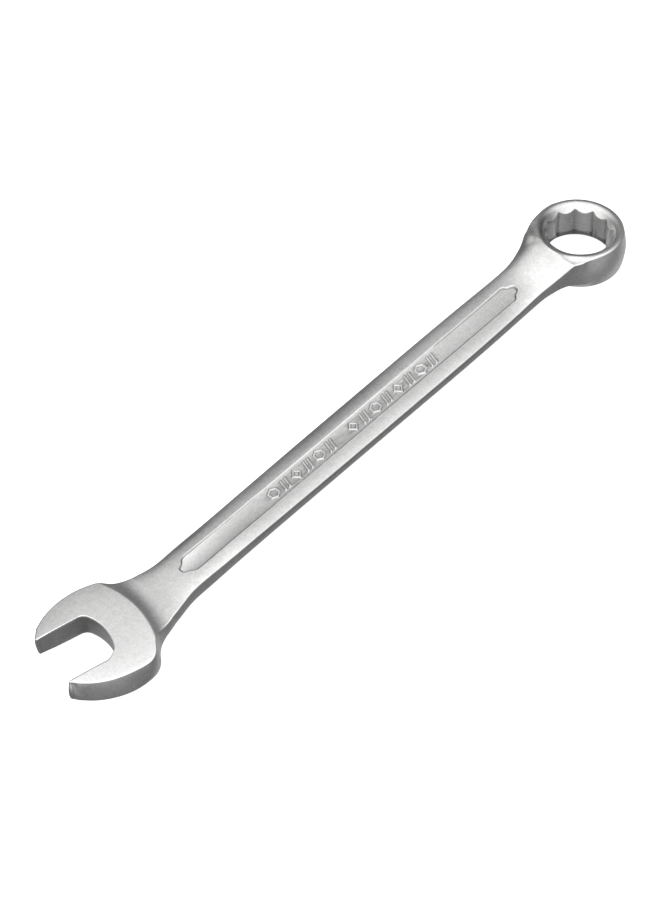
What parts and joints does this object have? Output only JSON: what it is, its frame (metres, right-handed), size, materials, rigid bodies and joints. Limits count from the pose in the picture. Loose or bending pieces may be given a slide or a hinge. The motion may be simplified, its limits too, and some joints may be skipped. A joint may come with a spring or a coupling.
{
  "type": "combination wrench",
  "caption": "Combination wrench with an angled open end and an offset twelve-point ring end, for turning hexagon nuts and bolts.",
  "frame": {"origin": "where the centre lines of the shank and of the jaw cross, at half the thickness of the open end", "axes": "+X along the shank from the open end towards the ring, +Z out of the face that carries the raised marks, +Y across the shank towards the upper jaw; the mouth of the jaw opens 15 degrees off -X, towards +Y"},
  "size_m": [0.1646, 0.0267, 0.0133],
  "materials": {
    "satin_chrome": "satin chrome plating over a fine blasted forging, soft sheen, slightly polished edges"
  },
  "bodies": {
    "root": {"wrench_forging": "satin_chrome"}
  },
  "joints": []
}
